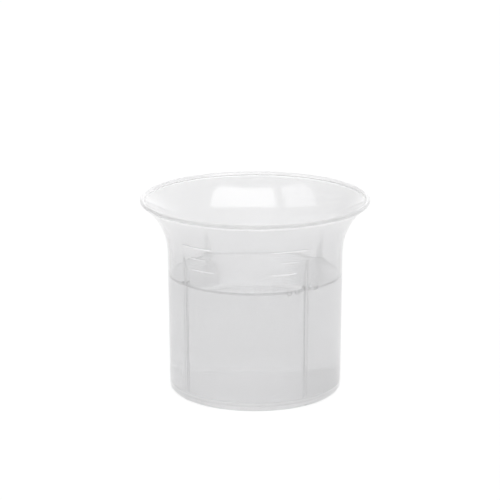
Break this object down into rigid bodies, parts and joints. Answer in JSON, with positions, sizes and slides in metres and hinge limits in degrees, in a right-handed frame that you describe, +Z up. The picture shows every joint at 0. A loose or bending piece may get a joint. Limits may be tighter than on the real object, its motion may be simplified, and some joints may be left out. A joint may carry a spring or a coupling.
{
  "type": "laboratory beaker",
  "caption": "Low translucent plastic beaker with a wide flared mouth, rounded lip, four slender inner ribs and a recessed base, part filled with clear liquid.",
  "frame": {"origin": "centre of the foot ring's flat underside, which is also the bottom centre of the overall box", "axes": "+Z up along the beaker's axis; -Y is the front, the side that carries the graduation marks; +X is to the right seen from the front"},
  "size_m": [0.0784, 0.0784, 0.0676],
  "materials": {
    "polypropylene": "natural translucent polypropylene, faintly milky, smooth satin gloss",
    "clear_liquid": "clear colourless water-like liquid, still and glossy"
  },
  "bodies": {
    "root": {"beaker": "polypropylene", "liquid_fill": "clear_liquid"}
  },
  "joints": []
}
